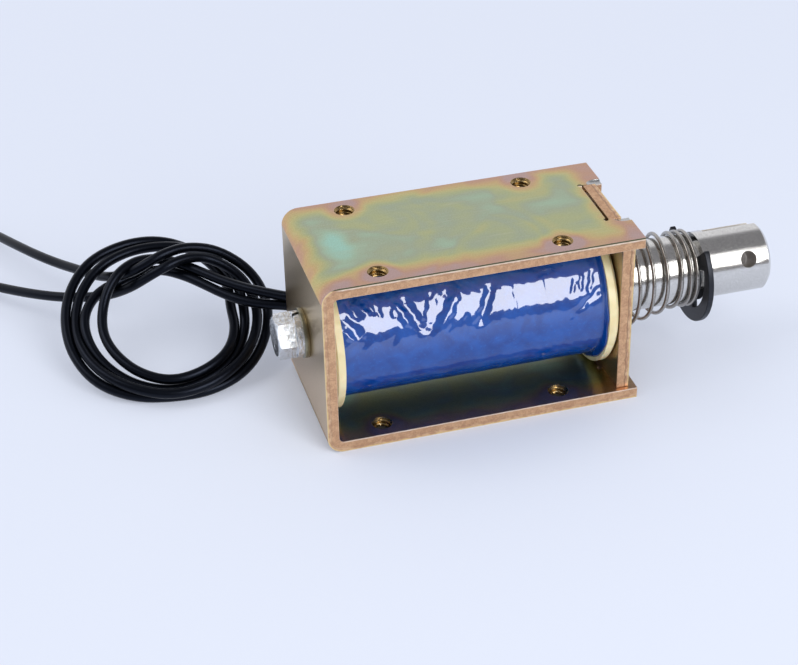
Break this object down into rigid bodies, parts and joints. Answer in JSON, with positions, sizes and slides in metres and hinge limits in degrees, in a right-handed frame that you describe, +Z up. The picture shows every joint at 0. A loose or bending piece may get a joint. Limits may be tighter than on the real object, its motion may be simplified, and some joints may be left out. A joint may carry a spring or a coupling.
{
  "type": "pull solenoid",
  "caption": "Open-frame linear electromagnet: wound coil in a bent steel channel, sprung plunger with a forked end, rear screw and two flying leads.",
  "frame": {"origin": "centre of the tapped hole pattern in the underside of the channel", "axes": "+X along the plunger towards its forked end, +Y to the side the leads leave from, +Z up"},
  "size_m": [0.1783, 0.1271, 0.037],
  "materials": {
    "zinc_yellow_steel": "yellow-passivated zinc, faint colour play",
    "end_plate_steel": "yellow-passivated zinc",
    "cream_nylon": "moulded, satin",
    "brass_tube": "drawn",
    "copper_winding": "enamelled wire",
    "blue_tape": "gloss film",
    "core_steel": "turned",
    "zinc_bright_steel": "bright zinc",
    "nickel_plunger": "turned and nickel plated",
    "black_clip": "black oxide",
    "spring_steel": "drawn wire",
    "black_pvc": "extruded, semi-gloss",
    "sleeve_film": "shrunk sleeve",
    "tinned_copper": "tinned strands"
  },
  "bodies": {
    "frame": {"channel_frame": "zinc_yellow_steel", "end_plate": "end_plate_steel", "bobbin": "cream_nylon", "guide_tube": "brass_tube", "winding": "copper_winding", "coil_tape": "blue_tape", "fixed_core": "core_steel", "rear_screw": "zinc_bright_steel", "spring_washer": "zinc_bright_steel", "flat_washer": "zinc_bright_steel", "return_spring": "spring_steel", "splice_sleeve_upper": "sleeve_film", "splice_sleeve_lower": "sleeve_film", "solder_joint_upper": "tinned_copper", "solder_joint_lower": "tinned_copper", "lead_upper_exit": "black_pvc", "lead_lower_exit": "black_pvc", "lead_loop": "black_pvc", "lead_upper_tail": "black_pvc", "lead_lower_tail": "black_pvc", "lead_upper_tip": "tinned_copper", "lead_lower_tip": "tinned_copper"},
    "clip": {"e_clip": "black_clip"},
    "plunger": {"plunger": "nickel_plunger"}
  },
  "joints": [
    {"name": "plunger_slide", "type": "slide", "parent": "frame", "child": "clip", "axis": [1, 0, 0], "range_m": [-0.01, 0], "stiffness_N_per_m": 370, "deforming": ["return_spring"]},
    {"name": "plunger_spin", "type": "hinge", "parent": "clip", "child": "plunger", "pos_m": [0.051, 0, 0.0183], "axis": [1, 0, 0], "continuous": true}
  ]
}
